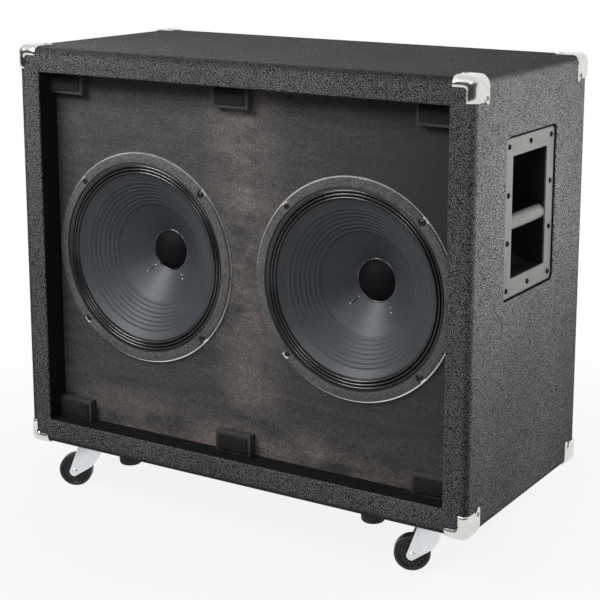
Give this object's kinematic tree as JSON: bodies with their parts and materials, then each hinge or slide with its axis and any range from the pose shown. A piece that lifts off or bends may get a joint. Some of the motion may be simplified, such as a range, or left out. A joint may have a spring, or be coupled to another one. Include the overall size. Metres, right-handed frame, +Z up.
{
  "type": "guitar speaker cabinet",
  "caption": "Vinyl-covered plywood speaker cabinet with side handles, metal corners and swivel casters, its grille off to show the cone speakers on a dark baffle.",
  "frame": {"origin": "on the floor under the middle of the box", "axes": "+X right seen from the front, +Y to the back, +Z up"},
  "size_m": [0.7468, 0.3588, 0.6754],
  "materials": {
    "plywood": "bare plywood",
    "vinyl": "grained vinyl covering",
    "back_board": "black painted board",
    "baffle": "dark stained, worn at the edges",
    "grille_block": "dark stained",
    "grille_pad": "hook-and-loop tape",
    "nickel": "bright nickel",
    "zinc": "zinc plated",
    "handle_metal": "satin",
    "handle_dish": "black",
    "black_screw": "black oxide",
    "rubber": "black rubber",
    "wheel": "black nylon",
    "basket": "grey stove enamel",
    "gasket": "grey speckled fibre",
    "cone": "pressed paper",
    "surround": "doped corrugated edge",
    "dust_cap": "doped felt",
    "spider": "phenolic cloth",
    "copper": "copper winding and braid",
    "motor_steel": "zinc plated steel",
    "magnet": "ferrite",
    "terminal": "phenolic board",
    "wire": "black insulation",
    "jack_dish": "black moulding",
    "jack": "nickel plated"
  },
  "bodies": {
    "cabinet": {"top_panel": "plywood", "bottom_panel": "plywood", "left_panel": "plywood", "right_panel": "plywood", "front_battens": "plywood", "rear_cleats": "plywood", "centre_brace": "plywood", "vinyl_covering": "vinyl", "back_panel": "back_board", "baffle": "baffle", "grille_blocks": "grille_block", "grille_pads": "grille_pad", "corner_caps": "nickel", "corner_screws": "nickel", "caster_plates": "zinc", "handle_plates": "handle_metal", "handle_bars": "handle_metal", "handle_dishes": "handle_dish", "handle_screws": "black_screw", "foot_screws": "black_screw", "back_panel_screws": "black_screw", "caster_screws": "black_screw", "jack_dish_screws": "black_screw", "speaker_bolts": "black_screw", "rubber_feet": "rubber", "speaker_basket_left": "basket", "speaker_basket_right": "basket", "speaker_gaskets": "gasket", "speaker_surround_left": "surround", "speaker_surround_right": "surround", "speaker_spider_left": "spider", "speaker_spider_right": "spider", "tinsel_leads_left": "copper", "tinsel_leads_right": "copper", "magnet_front_plates": "motor_steel", "magnet_yokes": "motor_steel", "speaker_magnets": "magnet", "speaker_terminals": "terminal", "speaker_wires": "wire", "jack_dish": "jack_dish", "jack_sockets": "jack"},
    "cone_left": {"speaker_cone_left": "cone", "speaker_dust_cap_left": "dust_cap", "voice_coil_left": "copper"},
    "cone_right": {"speaker_cone_right": "cone", "speaker_dust_cap_right": "dust_cap", "voice_coil_right": "copper"},
    "fork_front_left": {"caster_fork_front_left": "zinc", "caster_axle_front_left": "zinc"},
    "wheel_front_left": {"caster_wheel_front_left": "wheel"},
    "fork_front_right": {"caster_fork_front_right": "zinc", "caster_axle_front_right": "zinc"},
    "wheel_front_right": {"caster_wheel_front_right": "wheel"},
    "fork_rear_left": {"caster_fork_rear_left": "zinc", "caster_axle_rear_left": "zinc"},
    "wheel_rear_left": {"caster_wheel_rear_left": "wheel"},
    "fork_rear_right": {"caster_fork_rear_right": "zinc", "caster_axle_rear_right": "zinc"},
    "wheel_rear_right": {"caster_wheel_rear_right": "wheel"}
  },
  "joints": [
    {"name": "swivel_front_left", "type": "hinge", "parent": "cabinet", "child": "fork_front_left", "pos_m": [-0.293, -0.138, 0.064], "axis": [0, 0, 1], "continuous": true},
    {"name": "spin_front_left", "type": "hinge", "parent": "fork_front_left", "child": "wheel_front_left", "pos_m": [-0.31082, -0.14708, 0.025], "axis": [-0.454, 0.891, 0], "continuous": true},
    {"name": "swivel_front_right", "type": "hinge", "parent": "cabinet", "child": "fork_front_right", "pos_m": [0.293, -0.138, 0.064], "axis": [0, 0, 1], "continuous": true},
    {"name": "spin_front_right", "type": "hinge", "parent": "fork_front_right", "child": "wheel_front_right", "pos_m": [0.27518, -0.14708, 0.025], "axis": [-0.454, 0.891, 0], "continuous": true},
    {"name": "swivel_rear_left", "type": "hinge", "parent": "cabinet", "child": "fork_rear_left", "pos_m": [-0.293, 0.138, 0.064], "axis": [0, 0, 1], "continuous": true},
    {"name": "spin_rear_left", "type": "hinge", "parent": "fork_rear_left", "child": "wheel_rear_left", "pos_m": [-0.31082, 0.12892, 0.025], "axis": [-0.454, 0.891, 0], "continuous": true},
    {"name": "swivel_rear_right", "type": "hinge", "parent": "cabinet", "child": "fork_rear_right", "pos_m": [0.293, 0.138, 0.064], "axis": [0, 0, 1], "continuous": true},
    {"name": "spin_rear_right", "type": "hinge", "parent": "fork_rear_right", "child": "wheel_rear_right", "pos_m": [0.27518, 0.12892, 0.025], "axis": [-0.454, 0.891, 0], "continuous": true},
    {"name": "cone_travel_left", "type": "slide", "parent": "cabinet", "child": "cone_left", "axis": [0, -1, 0], "range_m": [-0.003, 0.003], "stiffness_N_per_m": 7000, "deforming": ["speaker_surround_left", "speaker_spider_left", "tinsel_leads_left"]},
    {"name": "cone_travel_right", "type": "slide", "parent": "cabinet", "child": "cone_right", "axis": [0, -1, 0], "range_m": [-0.003, 0.003], "stiffness_N_per_m": 7000, "deforming": ["speaker_surround_right", "speaker_spider_right", "tinsel_leads_right"]}
  ]
}
